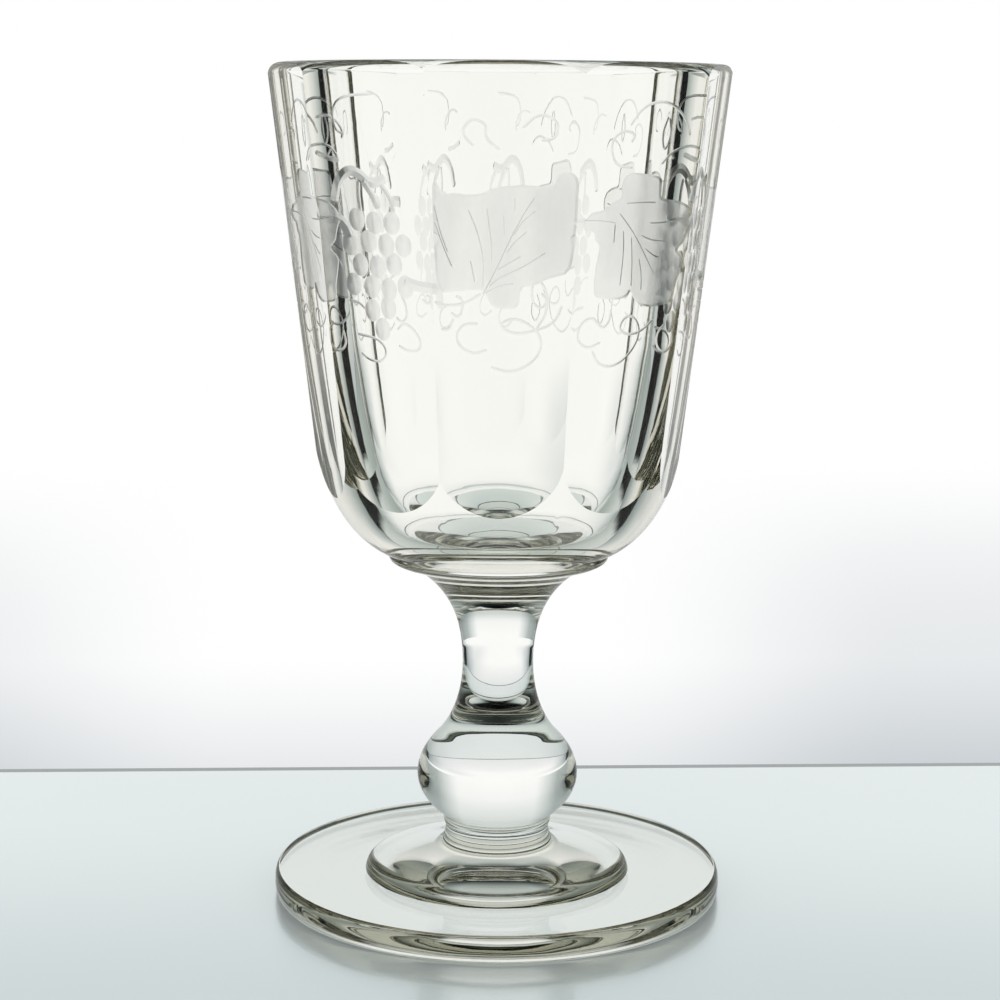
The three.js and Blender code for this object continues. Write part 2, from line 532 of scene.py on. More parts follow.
# Places of the vine's repeats, in degrees round the bowl. What is left has room for one bunch alone.
VINE_TURNS = (-104, 0, 104)
LONE_BUNCH_TURN = 215

# Leaf outlines and veins, as shares of the leaf's width and height
WIDE_LEAF_WIDTH, WIDE_LEAF_HEIGHT, WIDE_LEAF_PLACE = 25.0, 23.2, (-11.75, 48.9)
WIDE_LEAF_SHARES = [
    (0, 0.95), (0.04, 0.92), (0.06, 0.87), (0.08, 0.83), (0.13, 0.85), (0.18, 0.84), (0.27, 0.835),
    (0.36, 0.85), (0.40, 0.88), (0.5, 0.90), (0.63, 0.91), (0.73, 0.90), (0.83, 0.895), (0.835, 0.96),
    (0.89, 1), (0.96, 1), (0.995, 0.95), (1, 0.88), (0.995, 0.59), (0.98, 0.27), (0.86, 0.24),
    (0.78, 0.21), (0.72, 0.17), (0.62, 0.17), (0.615, 0.01), (0.5, 0), (0.40, 0.02), (0.37, 0.11),
    (0.33, 0.15), (0.13, 0.13), (0.01, 0.12), (0, 0.5)]
WIDE_LEAF_VEIN_SHARES = [
    [(0.34, 0.11), (0.43, 0.27), (0.55, 0.53), (0.64, 0.71), (0.71, 0.82)],
    [(0.24, 0.73), (0.31, 0.55), (0.35, 0.34), (0.34, 0.17)],
    [(0.37, 0.74), (0.39, 0.59), (0.41, 0.45), (0.405, 0.34)],
    [(0.49, 0.69), (0.50, 0.54)],
    [(0.57, 0.81), (0.57, 0.72)],
    [(0.72, 0.72), (0.63, 0.65), (0.57, 0.55)],
    [(0.66, 0.57), (0.57, 0.49), (0.52, 0.42)],
    [(0.62, 0.39), (0.52, 0.33), (0.45, 0.29)],
    [(0.80, 0.42), (0.64, 0.31), (0.46, 0.23), (0.39, 0.17)],
    [(0.57, 0.19), (0.46, 0.17), (0.36, 0.12)],
    [(0.25, 0.36), (0.28, 0.2)],
    [(0.01, 0.76), (0.04, 0.58), (0.09, 0.42)],
    [(0.01, 0.64), (0.06, 0.46), (0.12, 0.31)],
]
DEEP_LEAF_WIDTH, DEEP_LEAF_HEIGHT, DEEP_LEAF_PLACE = 26.0, 23.4, (14.1, 48.5)
DEEP_LEAF_SHARES = [
    (0.39, 1), (0.34, 0.96), (0.32, 0.88), (0.34, 0.82), (0.24, 0.78), (0.18, 0.73), (0.08, 0.72),
    (0.04, 0.67), (0, 0.66), (0.03, 0.59), (0.12, 0.58), (0.12, 0.52), (0.17, 0.48), (0.16, 0.40),
    (0.14, 0.29), (0.14, 0.15), (0.15, 0.10), (0.27, 0.08), (0.38, 0.07), (0.47, 0.09), (0.49, 0.14),
    (0.52, 0.08), (0.57, 0.03), (0.68, 0), (0.78, 0.01), (0.88, 0.02), (0.91, 0.06), (0.91, 0.15),
    (0.95, 0.28), (0.96, 0.37), (0.88, 0.42), (0.95, 0.48), (0.96, 0.54), (1, 0.63), (1, 0.69),
    (0.94, 0.76), (0.85, 0.79), (0.76, 0.80), (0.69, 0.81), (0.69, 0.91), (0.68, 0.97), (0.57, 0.985),
    (0.47, 1)]
DEEP_LEAF_VEIN_SHARES = [
    [(0.33, 0.71), (0.48, 0.56), (0.6, 0.4), (0.72, 0.23)],
    [(0.39, 0.78), (0.52, 0.785), (0.66, 0.78)],
    [(0.02, 0.66), (0.15, 0.66), (0.3, 0.64)],
    [(0.3, 0.63), (0.3, 0.49)],
    [(0.38, 0.58), (0.4, 0.43), (0.39, 0.17)],
    [(0.46, 0.53), (0.49, 0.34), (0.5, 0.16)],
    [(0.55, 0.37), (0.59, 0.25), (0.6, 0.13)],
    [(0.55, 0.54), (0.66, 0.5), (0.79, 0.49)],
    [(0.62, 0.63), (0.78, 0.63), (0.92, 0.66)],
    [(0.6, 0.44), (0.68, 0.39), (0.74, 0.37)],
]

# Stems of the vine: width, then the places that each passes through
BUNCH_STEMS = [
    (1.8, [(-33.4, 66.4), (-32.3, 70.2), (-29.6, 72.2), (-27, 71.4), (-25.4, 70), (-23.6, 69.9),
           (-21.4, 70.8)]),
    (1.3, [(-26.6, 70.3), (-24.8, 68.3), (-23.4, 65.6)]),
    (0.9, [(-27.5, 70.2), (-27.8, 67.4), (-27.5, 64.8)]),
    (1.0, [(-22.6, 69.8), (-20.6, 67.6), (-19.9, 65)]),
]
VINE_STEMS = [
    (2.2, [(-38.6, 63.8), (-34.2, 64.1), (-31.6, 63), (-30.4, 60.4)]),
    (1.9, [(-11.2, 52.3), (-15.5, 52.6), (-18.6, 53.4)]),
    (1.4, [(12.4, 63.5), (15.2, 63.8)]),
    (0.9, [(-36.4, 75), (-33.6, 73.9), (-31.4, 73.7)]),
]
BUNCH_TENDRILS = [
    [(-19.3, 50.9), (-18.4, 49.3), (-18.2, 47.3), (-19.4, 46.1), (-20.8, 47)],
    [(-20.7, 44.9), (-19, 46.2), (-16.9, 45.2), (-15.2, 43.2), (-15.8, 41.5), (-18.4, 41.2),
     (-20.6, 42.1)],
    [(-30.6, 43.6), (-25.7, 43.1), (-23.5, 41), (-25.1, 38.9), (-28.1, 39.1), (-30.2, 40.3)],
    [(-32, 49.5), (-29.6, 49.2), (-28.4, 48.2)],
    [(-30, 78.3), (-31.5, 78.6), (-32.1, 81.2), (-31.2, 83.6), (-28.4, 84.7), (-23, 84.9)],
    [(-35.6, 80.9), (-33.5, 81.5), (-31.2, 80.4), (-30, 78.6), (-30.4, 77.4)],
]
VINE_TENDRILS = [
    [(-4.2, 46.4), (-6.9, 46.4), (-8.4, 44.5), (-7.7, 42.4), (-5, 41.1), (-2.5, 41.9)],
    [(-1.8, 38.9), (1.3, 38.1), (4, 38.4), (7.2, 40.5), (8.2, 43.3), (6.6, 45.8), (2.8, 47.6),
     (-0.5, 46.2), (2.6, 44.6), (6.8, 45.2), (10.2, 46.6), (11.4, 49.6)],
    [(6.9, 54.4), (8.9, 51.6), (8.6, 48), (6.9, 45.6)],
    [(6, 53), (5.9, 50.2), (7.6, 48.9), (8.9, 50.4), (7.6, 51.7)],
    [(-8.2, 51.1), (-7.2, 50.9), (-6.9, 49.2), (-7.7, 47.3), (-9.1, 48.3)],
    [(-8.7, 47.3), (-9.4, 45.4), (-10.9, 45.4)],
    [(-11.9, 50.1), (-9.9, 49.5), (-6.9, 49.7), (-3.5, 51.6)],
    [(-14.6, 50.4), (-13.2, 49.6), (-12.6, 50.8), (-13.6, 51.2)],
    [(20.3, 42.9), (17.2, 41.9), (14.9, 43.3), (14.7, 44.9), (15.5, 46.6), (18, 47.4), (19.4, 46.2),
     (20.7, 45.3), (22.2, 46.4), (22.4, 48.6)],
    [(18.4, 41.5), (20.3, 38.9), (24, 38.4), (27.7, 40.1), (30, 42.9), (30, 45.4), (27.7, 47.4),
     (25.6, 46.8), (24.7, 44.8), (27.5, 43.8), (30.9, 44.5), (33.3, 46.4)],
    [(36.4, 45.4), (34.6, 43.8), (34.9, 41.4), (37, 40), (39, 41.6), (38.4, 44.2)],
    [(24.7, 72.8), (21.2, 73), (19.6, 75.4), (19.9, 77.9), (22.6, 79.2), (24.9, 78.3), (24, 77.1)],
    [(23.5, 79.9), (26.1, 83.1), (30, 84.1), (33.5, 83.2), (36.3, 80.5), (37.2, 78.2)],
    [(31.9, 81.4), (30.8, 78.4), (31.7, 75.2), (33, 78.2), (32.2, 81.2)],
    [(31.4, 73.3), (33.5, 75.4), (37, 76.5), (39.5, 76.1), (40.9, 74.4)],
    [(-4.6, 76.4), (-6.8, 78.6), (-5.2, 81), (-2.4, 80.2), (-2.8, 77.8), (-0.2, 75.8)],
    [(3.6, 79.4), (6.4, 82), (9.6, 80.6), (9.2, 77.6), (6.8, 77.4)],
]


def rounded(points, rounds, closed=True):
    """Cuts the corners of an outline, so that it runs smoothly."""
    for _ in range(rounds):
        following = points[1:] + points[:1] if closed else points[1:]
        cut = []
        for first, second in zip(points, following):
            cut += [tuple(mix(a, b, CORNER_SHARE) for a, b in zip(first, second)),
                    tuple(mix(a, b, 1 - CORNER_SHARE) for a, b in zip(first, second))]
        points = cut if closed else [points[0], *cut, points[-1]]
    return points


def spaced(points, step):
    """Points about one step apart along a line."""
    found = [points[0]]
    for first, second in zip(points, points[1:]):
        parts = max(1, round(math.dist(first, second) / step))
        for part in range(1, parts + 1):
            found.append(tuple(mix(a, b, part / parts) for a, b in zip(first, second)))
    return found


def nearest(places, line, closed=False):
    """How far each place is from a line, and where along it, counted in its points, it is nearest."""
    ends = np.array(line + line[:1] if closed else line)
    first, along = ends[:-1], ends[1:] - ends[:-1]
    offset = places[:, None, :] - first[None, :, :]
    lengths = np.maximum((along ** 2).sum(axis=1), NO_LENGTH)
    share = np.clip((offset * along).sum(axis=2) / lengths, 0, 1)
    gaps = np.linalg.norm(offset - share[:, :, None] * along, axis=2)
    best = gaps.argmin(axis=1)
    every = np.arange(len(places))
    return gaps[every, best], best + share[every, best]


def inside_outline(places, line):
    ends = np.array(line + line[:1])
    (x0, y0), (x1, y1) = ends[:-1].T, ends[1:].T
    x, y = places[:, :1], places[:, 1:]
    crosses = (y0 > y) != (y1 > y)
    at = x0 + (y - y0) / np.where(y1 == y0, NO_LENGTH, y1 - y0) * (x1 - x0)
    return (crosses & (x < at)).sum(axis=1) % 2 == 1


def turns_left(a, b, c):
    return (b[0] - a[0]) * (c[1] - a[1]) - (b[1] - a[1]) * (c[0] - a[0]) > NO_AREA


def without_folds(corners):
    """A four-sided face, or the half of it that isn't folded over where the line turns sharply."""
    a, b, c, d = corners
    halves = [half for half in ([a, b, c], [a, c, d]) if turns_left(*half)]
    return [corners] if len(halves) == 2 else halves


def groove(line, width, slope):
    """A cut along a line, deepest in its middle."""
    line = spaced(rounded(line, GROOVE_ROUNDS, closed=False), CHAIN_STEP)
    last = len(line) - 1
    tapers = [min(1, POINT_SHARE + TAPER_SHARE * min(index, last - index)) for index in range(last + 1)]
    left, right = [], []
    for index, (x, y) in enumerate(line):
        (x0, y0), (x1, y1) = line[max(index - 1, 0)], line[min(index + 1, last)]
        across = width / 2 * tapers[index] / math.hypot(x1 - x0, y1 - y0)
        left.append((x - (y1 - y0) * across, y + (x1 - x0) * across))
        right.append((x + (y1 - y0) * across, y - (x1 - x0) * across))
    outlines = []
    for index in range(last):
        outlines += without_folds([line[index], line[index + 1], left[index + 1], left[index]])
        outlines += without_folds([right[index], right[index + 1], line[index + 1], line[index]])

    def depth_at(places):
        gap, at = nearest(places, line)
        return slope * np.maximum(width / 2 * np.interp(at, range(last + 1), tapers) - gap, 0)

    return {"outlines": outlines, "inner": [], "depth": depth_at, "in_leaf": False}


def grape(x, y):
    def ring(share, count):
        return [(x + share * GRAPE_WIDTH / 2 * math.cos(2 * math.pi * step / count),
                 y + share * GRAPE_HEIGHT / 2 * math.sin(2 * math.pi * step / count))
                for step in range(count)]

    def depth_at(places):
        aside = (places[:, 0] - x) / GRAPE_WIDTH * 2
        up = (places[:, 1] - y) / GRAPE_HEIGHT * 2
        return GRAPE_DEPTH * np.clip(1 - (aside ** 2 + up ** 2), 0, 1)

    inner = [point for share, count in GRAPE_RINGS for point in ring(share, count)]
    return {"outlines": [ring(1, GRAPE_STEPS)], "inner": [*inner, (x, y)], "depth": depth_at,
            "in_leaf": False}


def leaf(shares, vein_shares, place, width, height):
    def at(share):
        return place[0] + share[0] * width, place[1] + share[1] * height

    line = rounded([at(share) for share in shares], LEAF_ROUNDS)
    if sum(x0 * y1 - x1 * y0 for (x0, y0), (x1, y1) in zip(line, line[1:] + line[:1])) < 0:
        line.reverse()
    corner, far = np.min(line, axis=0), np.max(line, axis=0)
    columns, rows = ((far - corner) / LATTICE_STEP).astype(int) + 1
    lattice = np.array([
        (corner[0] + (column + 0.5 * (row % 2)) * LATTICE_STEP, corner[1] + row * LATTICE_STEP)
        for row in range(rows + 1) for column in range(columns + 1)])
    lattice = lattice[inside_outline(lattice, line)]
    lattice = lattice[nearest(lattice, line, closed=True)[0] > LATTICE_MARGIN]
    ring = []
    for before, here, after in zip(line[-1:] + line[:-1], line, line[1:] + line[:1]):
        run = math.dist(before, after)
        for side in (1, -1):
            ring.append((here[0] - side * (after[1] - before[1]) / run * LEAF_EDGE,
                         here[1] + side * (after[0] - before[0]) / run * LEAF_EDGE))
    ring = np.array(ring)
    ring = ring[inside_outline(ring, line)]
    ring = ring[nearest(ring, line, closed=True)[0] > RING_MARGIN]

    def depth_at(places):
        inner = np.clip(nearest(places, line, closed=True)[0] / LEAF_EDGE, 0, 1)
        return LEAF_DEPTH * inner * inside_outline(places, line)

    body = {"outlines": [line], "inner": [tuple(point) for point in [*lattice, *ring]], "depth": depth_at,
            "in_leaf": False}
    veins = [groove([at(share) for share in run], VEIN_WIDTH, VEIN_SLOPE) for run in vein_shares]
    return [body, *({**vein, "in_leaf": True} for vein in veins)]


def bunch():
    shapes = []
    for row, count in enumerate(GRAPE_ROWS):
        for place in range(count):
            aside = GRAPE_STRAY_ASIDE * math.sin(ASIDE_TURNS[0] * row + ASIDE_TURNS[1] * place)
            up = GRAPE_STRAY_UP * math.cos(UP_TURNS[0] * row + UP_TURNS[1] * place)
            shapes.append(grape(BUNCH_PLACE[0] + (place - (count - 1) / 2) * GRAPE_SPACING + aside,
                                BUNCH_PLACE[1] - row * GRAPE_ROW_STEP + up))
    shapes += [groove(line, width, STEM_SLOPE) for width, line in BUNCH_STEMS]
    shapes += [groove(line, TENDRIL_WIDTH, STEM_SLOPE) for line in BUNCH_TENDRILS]
    return shapes


def vine():
    """One repeat of the pattern, with a leaf facing the middle of a panel."""
    shapes = bunch()
    shapes += leaf(WIDE_LEAF_SHARES, WIDE_LEAF_VEIN_SHARES, WIDE_LEAF_PLACE,
                   WIDE_LEAF_WIDTH, WIDE_LEAF_HEIGHT)
    shapes += leaf(DEEP_LEAF_SHARES, DEEP_LEAF_VEIN_SHARES, DEEP_LEAF_PLACE,
                   DEEP_LEAF_WIDTH, DEEP_LEAF_HEIGHT)
    shapes += [groove(line, width, STEM_SLOPE) for width, line in VINE_STEMS]
    shapes += [groove(line, TENDRIL_WIDTH, STEM_SLOPE) for line in VINE_TENDRILS]
    return shapes


def moved(shape, turn):
    aside = math.radians(turn) * ENGRAVE_RADIUS

    def depth_at(places, depth=shape["depth"]):
        return depth(places - np.array([aside, 0]))

    return {**shape, "depth": depth_at,
            "outlines": [[(x + aside, y) for x, y in line] for line in shape["outlines"]],
            "inner": [(x + aside, y) for x, y in shape["inner"]]}


def engraving():
    pattern, lone = vine(), bunch()
    shapes = [moved(shape, turn) for turn in VINE_TURNS for shape in pattern]
    return shapes + [moved(shape, LONE_BUNCH_TURN) for shape in lone]


def engraved_band(angles, corners):
    """Triangles of the band between BAND_LOW and BAND_HIGH, over columns at the given angles.

    Corners are the numbers of the columns where two panels meet, which stay sharp. Returns each point
    as (angle, height, depth), angle in radians and the others in metres; the triangles and whether each
    is engraved; and the point numbers of the low row, then of the high row.
    """
    count = len(angles)
    across = [angle * ENGRAVE_RADIUS for angle in angles]
    points = [Vector((x, BAND_LOW)) for x in across] + [Vector((x, BAND_HIGH)) for x in across]
    edges = []
    for step in range(count - 1):
        edges += [(step, step + 1), (count + step, count + step + 1)]
    edges += [(step, count + step) for step in corners]
    faces = []
    shapes = engraving()
    for shape in shapes:
        for line in shape["outlines"]:
            faces.append(list(range(len(points), len(points) + len(line))))
            points += [Vector(point) for point in line]
        points += [Vector(point) for point in shape["inner"]]
    found, _, triangles, sources, _, owners = delaunay_2d_cdt(points, edges, faces, WHOLE_HULL, NO_GAP)
    places = np.array([tuple(point) for point in found])
    depth, in_leaf = np.zeros(len(places)), np.zeros(len(places))
    for shape in shapes:
        ends = np.concatenate([np.array(line) for line in shape["outlines"]])
        near = np.where(((places >= ends.min(axis=0)) & (places <= ends.max(axis=0))).all(axis=1))[0]
        total = in_leaf if shape["in_leaf"] else depth
        total[near] = np.maximum(total[near], shape["depth"](places[near]))
    depth += in_leaf
    new_of = {source: index for index, group in enumerate(sources) for source in group}
    verts = [(x / ENGRAVE_RADIUS, y * MM, cut * MM) for (x, y), cut in zip(places, depth)]
    edge_points = [new_of[index] for index in range(2 * count)]
    return verts, triangles, [len(group) > 0 for group in owners], edge_points


# Bowl

HALF_PANEL = math.pi / PANEL_COUNT
BOWL_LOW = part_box("bowl")[0][2]
BOWL_HEIGHT = node_height("bowl")
FLAT_AT_RIM = CORNER_RADIUS_AT_RIM * math.cos(HALF_PANEL)
FLAT_AT_HIP = CORNER_RADIUS_AT_HIP * math.cos(HALF_PANEL)
CAVITY_RIM_RADIUS = FLAT_AT_RIM - RIM_WALL


def flat_radius(height):
    """Distance from the axis to the middle of a panel at this height above the seat."""
    return mix(FLAT_AT_HIP, FLAT_AT_RIM, (height - HIP_HEIGHT) / (BOWL_HEIGHT - HIP_HEIGHT))


def blank_outline():
    """The outside of the round blank, from its seat to the top of the lip."""
    return outline(
        [
            (BOWL_SEAT_RADIUS, 0),
            (CORNER_RADIUS_AT_HIP - BELLY_INSET, BELLY_HEIGHT),
            (CORNER_RADIUS_AT_HIP + BLANK_ALLOWANCE, HIP_HEIGHT),
            (CORNER_RADIUS_AT_RIM + BLANK_ALLOWANCE, BOWL_HEIGHT - RIM_ROUND_HEIGHT),
            (CAVITY_RIM_RADIUS + LIP_INNER_WIDTH, BOWL_HEIGHT),
        ],
        [
            (0.42, 0.14, 0.78, 0.5),
            (0.4, 0.3, 0.8, 0.7),
            (0.35, 0.22, 0.78, 0.7),
            (0, 0.62, 0.42, 1),
        ], BLANK_STEPS)


def cavity_outline():
    """From the top of the lip down to the middle of the cavity's floor."""
    return outline(
        [
            (CAVITY_RIM_RADIUS + LIP_INNER_WIDTH, BOWL_HEIGHT),
            (CAVITY_RIM_RADIUS, BOWL_HEIGHT - LIP_INNER_HEIGHT),
            (flat_radius(CAVITY_LOW_HEIGHT) - LOW_WALL, CAVITY_LOW_HEIGHT),
            (CAVITY_FLOOR_RADIUS, BASE_THICKNESS),
            (0, BASE_THICKNESS),
        ],
        [(0.55, 0, 1, 0.4), EVEN_STEPS, (0.27, 0.75, 0.6, 1), EVEN_STEPS], CAVITY_STEPS)


def panel_radius(height, turn):
    """Radius of the panel's plane, at an angle of turn from the middle of the panel."""
    return flat_radius(height) / math.cos(turn)


BLANK = blank_outline()


def blank_radius(height):
    for (r0, z0), (r1, z1) in zip(BLANK, BLANK[1:]):
        if z0 <= height <= z1:
            return mix(r0, r1, (height - z0) / (z1 - z0))
    return BLANK[-1][0]


def crossing(turn, low, high):
    """Height between low and high where the blank's surface passes through the panel's plane."""
    low_side = blank_radius(low) > panel_radius(low, turn)
    for _ in range(CROSSING_HALVINGS):
        middle = (low + high) / 2
        if (blank_radius(middle) > panel_radius(middle, turn)) == low_side:
            low = middle
        else:
            high = middle
    return (low + high) / 2


def panel_angle(index):
    """Where the middle of a panel faces, for numbers below 0 and past the last panel too."""
    return 2 * HALF_PANEL * (index + PANEL_TURN_SHARES[index % PANEL_COUNT])


def panel_columns():
    """(angle, turn within the panel) of each column, across each panel in turn, from the back round."""
    columns = []
    start = PANEL_COUNT // 2 + 1 - PANEL_COUNT
    for index in range(start, start + PANEL_COUNT):
        before, centre, after = (panel_angle(near) for near in (index - 1, index, index + 1))
        left, right = (before + centre) / 2, (centre + after) / 2
        for step in range(PANEL_STEPS):
            angle = mix(left, right, step / PANEL_STEPS)
            columns.append((angle, angle - centre))
    return columns


def turn_in_panel(angle):
    """The smallest turn from the middle of a panel to this angle."""
    nearest_panel = round(angle / (2 * HALF_PANEL))
    return min((angle - panel_angle(nearest_panel + near) for near in (-1, 0, 1)), key=abs)


def bowl_rows(columns):
    """Rows of (radius, height) up the outside and down the cavity, and the number of the last one below
    the engraved band."""
    middle = mix(HIP_HEIGHT, BOWL_HEIGHT, 0.5)
    # In each column the panel runs from one crossing of its plane with the blank to the other
    spans = [(crossing(turn, 0, middle), crossing(turn, middle, BOWL_HEIGHT)) for _, turn in columns]
    rows = []
    for row in range(LOW_ROWS):
        rows.append([(blank_radius(low * row / LOW_ROWS), low * row / LOW_ROWS) for low, _ in spans])
    low_edge = len(rows) + PANEL_ROWS
    for starts, ends in ((None, BAND_LOW * MM), (BAND_HIGH * MM, None)):
        for row in range(PANEL_ROWS + 1):
            line = []
            for (_, turn), (low, high) in zip(columns, spans):
                height = mix(starts or low, ends or high, row / PANEL_ROWS)
                line.append((panel_radius(height, turn), height))
            rows.append(line)
    for row in range(1, LIP_ROWS):
        line = []
        for _, high in spans:
            # Rows crowd towards the top of the lip, where the outline turns flat
            height = mix(high, BOWL_HEIGHT, math.sin(math.pi / 2 * row / LIP_ROWS))
            line.append((blank_radius(height), height))
        rows.append(line)
    for radius, height in cavity_outline()[:-1]:
        rows.append([(radius, height)] * len(columns))
    return rows, low_edge


def make_bowl():
    columns = panel_columns()
    count = len(columns)
    rows, low_edge = bowl_rows(columns)
    verts = []
    for line in rows:
        for (radius, height), (angle, _) in zip(line, columns):
            verts.append(round_place(radius, angle, BOWL_LOW + height))
    seat, floor = len(verts), len(verts) + 1
    verts += [(0, 0, BOWL_LOW), (0, 0, BOWL_LOW + BASE_THICKNESS)]
    faces, slots = [], []
    for step in range(count):
        after = (step + 1) % count
        faces.append((seat, after, step))
        slots.append(SEAM)
        for row in range(len(rows) - 1):
            if row == low_edge:
                continue
            low, high = row * count, (row + 1) * count
            faces.append((low + step, low + after, high + after, high + step))
            slots.append(CLEAR)
        last = (len(rows) - 1) * count
        faces.append((last + step, last + after, floor))
        slots.append(CLEAR)

    # The engraved band is sewn in between the two rows that were left apart
    angles = [angle for angle, _ in columns]
    angles.append(angles[0] + 2 * math.pi)
    corners = range(0, count + 1, PANEL_STEPS)
    places, triangles, engraved, edge_points = engraved_band(angles, corners)
    vertex_of = {}
    for index, point in enumerate(edge_points):
        row, step = divmod(index, count + 1)
        vertex_of[point] = (low_edge + row) * count + step % count
    for index, (angle, height, cut) in enumerate(places):
        if index not in vertex_of:
            radius = panel_radius(height, turn_in_panel(angle)) - cut
            vertex_of[index] = len(verts)
            verts.append(round_place(radius, angle, BOWL_LOW + height))
    for triangle, is_cut in zip(triangles, engraved):
        faces.append(tuple(vertex_of[index] for index in triangle))
        slots.append(MATT if is_cut else CLEAR)
    add_piece("bowl", verts, faces, slots)


# Stage

FLOOR_DROP = 0.05 * MM
FLOOR_REACH = 6.0
# The far edge of the table, behind the goblet, as a height on the Y axis and a slope towards +X
TABLE_EDGE = 80.8 * MM
TABLE_EDGE_SLOPE = 0.046
TABLE_EDGE_WIDTH = 2.6 * MM
TABLE_EDGE_COLOUR = (0.36, 0.38, 0.39, 1)
# Painted light and shade: the table is paler far away, towards the bright backdrop, than near the front,
# and changes between these two places on the Y axis
TABLE_SHADE_SPAN = -75 * MM, 45 * MM
TABLE_MATT_SHADED_NEAR, TABLE_MATT_LIT_FAR = (0.62, 0.69, 0.70, 1), (0.88, 0.95, 0.96, 1)
TABLE_FROSTED_SHADED_NEAR, TABLE_FROSTED_LIT_FAR = (0.88, 0.94, 0.95, 1), (0.97, 1, 1, 1)
TABLE_FROSTED_SHARE, TABLE_FROSTED_ROUGHNESS = 0.6, 0.25
TABLE_POLISH_IOR, TABLE_POLISH_ROUGHNESS = 1.3, 0.03
# The goblet's glass sees the table as clear, with the room below in it
TABLE_CLEAR_COLOUR = (0.93, 0.96, 0.96, 1)
# Painted shade: the backdrop greys softly near the table and, more on the right, towards the sides. The
# sides are
#  slopes: distance from the middle, as a share of the distance from a point in front of the goblet.
BACKDROP_SHADE_COLOUR = (0.0, 0.1, 0.165, 1)
BACKDROP_LOW_SHADE, BACKDROP_LOW_REACH, BACKDROP_LOW_POWER = 0.2, 110 * MM, 1.3
BACKDROP_FRONT = 525 * MM
BACKDROP_SIDE_SPAN = 90 * MM, 480 * MM
BACKDROP_RIGHT_SHADE, BACKDROP_RIGHT_SPAN = 0.2, (0.04, 0.18)
BACKDROP_LEFT_SHADE, BACKDROP_LEFT_SPAN = 0.18, (0.11, 0.26)
# What matt surfaces see in place of the backdrop
PLAIN_COLOUR = (0.8, 0.8, 0.8, 1)

# The studio, as it shows in the glass. Each list gives (degrees, brightness): for directions turned away
# from the back of the room, and for directions that rise or fall. Below the horizon it is seen through
# the table.
ROUND_LEVEL = [(0, 1), (30, 1), (42, 0.75), (50, 0.48), (56, 0.4), (70, 0.9), (180, 0.95)]
ROUND_ABOVE = [(0, 1), (22, 1), (40, 0.5), (60, 0.36), (76, 0.7), (100, 0.7), (118, 0.25),
               (150, 0.1), (166, 0.04), (180, 0.03)]
RISE = [(0, 1), (12, 0.95), (24, 0.7), (48, 0.6), (58, 0.22), (66, 0.03), (90, 0.02)]
ROUND_BELOW = [(0, 0.9), (25, 0.87), (45, 0.82), (58, 0.62), (72, 0.5), (84, 0.75), (95, 0.95),
               (130, 0.95), (145, 0.65), (160, 0.25), (180, 0.03)]
FALL = [(0, 1), (20, 0.97), (36, 0.93), (52, 0.76), (90, 0.75)]
HORIZON_FALL = math.radians(2)
# Below, the room goes dark in front, and steeply below also at the sides: from no dark to full dark
FRONT_TURN_SPAN = math.radians(138), math.radians(165)
FRONT_FALL_SPAN = math.radians(38), math.radians(48)
STEEP_TURN_SPAN = math.radians(85), math.radians(110)
STEEP_FALL_SPAN = math.radians(53), math.radians(62)
DARKEST = 0.003
# A broad lamp high over the camera
LAMP_RISE, LAMP_TURN = math.radians(57), math.radians(150)
LAMP_HALF_RISE, LAMP_HALF_TURN = math.radians(12), math.radians(35)
LAMP_FADE = math.radians(4)
LAMP_BRIGHTNESS = 0.9
# Greys lean towards this tint
GREY_TINT = (0.8, 1, 0.98, 1)
# The dark gap beside the white sheet, on both sides, where the room is unlit. It shows in the table as
# painted shade from
#  NEAR_SPAN round the goblet, turns by GAP_SKEW over SKEW_SPAN further out, and ends above over RISE_SPAN.
GAP_TURN, GAP_HALF, GAP_FADE = math.radians(60), math.radians(7.5), math.radians(1.5)
GAP_NEAR_SPAN = 120 * MM, 145 * MM
GAP_SKEW, GAP_SKEW_SPAN = math.radians(17), (380 * MM, 750 * MM)
GAP_RISE_SPAN = math.radians(20), math.radians(40)


def painted_backdrop_shade(sums, x, past):
    """How much painted shade greys the backdrop, x aside of the middle and this far past the table's edge.
    """
    near_line = sums.do("SUBTRACT", 1.0, sums.do("DIVIDE", past, BACKDROP_LOW_REACH), clamp=True)
    low = sums.do("MULTIPLY", sums.do("POWER", near_line, BACKDROP_LOW_POWER), BACKDROP_LOW_SHADE)
    slope = sums.do("DIVIDE", x, sums.do("ADD", past, BACKDROP_FRONT))
    left_slope = sums.do("MULTIPLY", slope, -1.0)
    right = sums.do("MULTIPLY", sums.ramp(slope, *BACKDROP_RIGHT_SPAN), BACKDROP_RIGHT_SHADE)
    left = sums.do("MULTIPLY", sums.ramp(left_slope, *BACKDROP_LEFT_SPAN), BACKDROP_LEFT_SHADE)
    reach = sums.rest(sums.ramp(past, *BACKDROP_SIDE_SPAN))
    return sums.do("MULTIPLY_ADD", sums.do("ADD", left, right), reach, low)


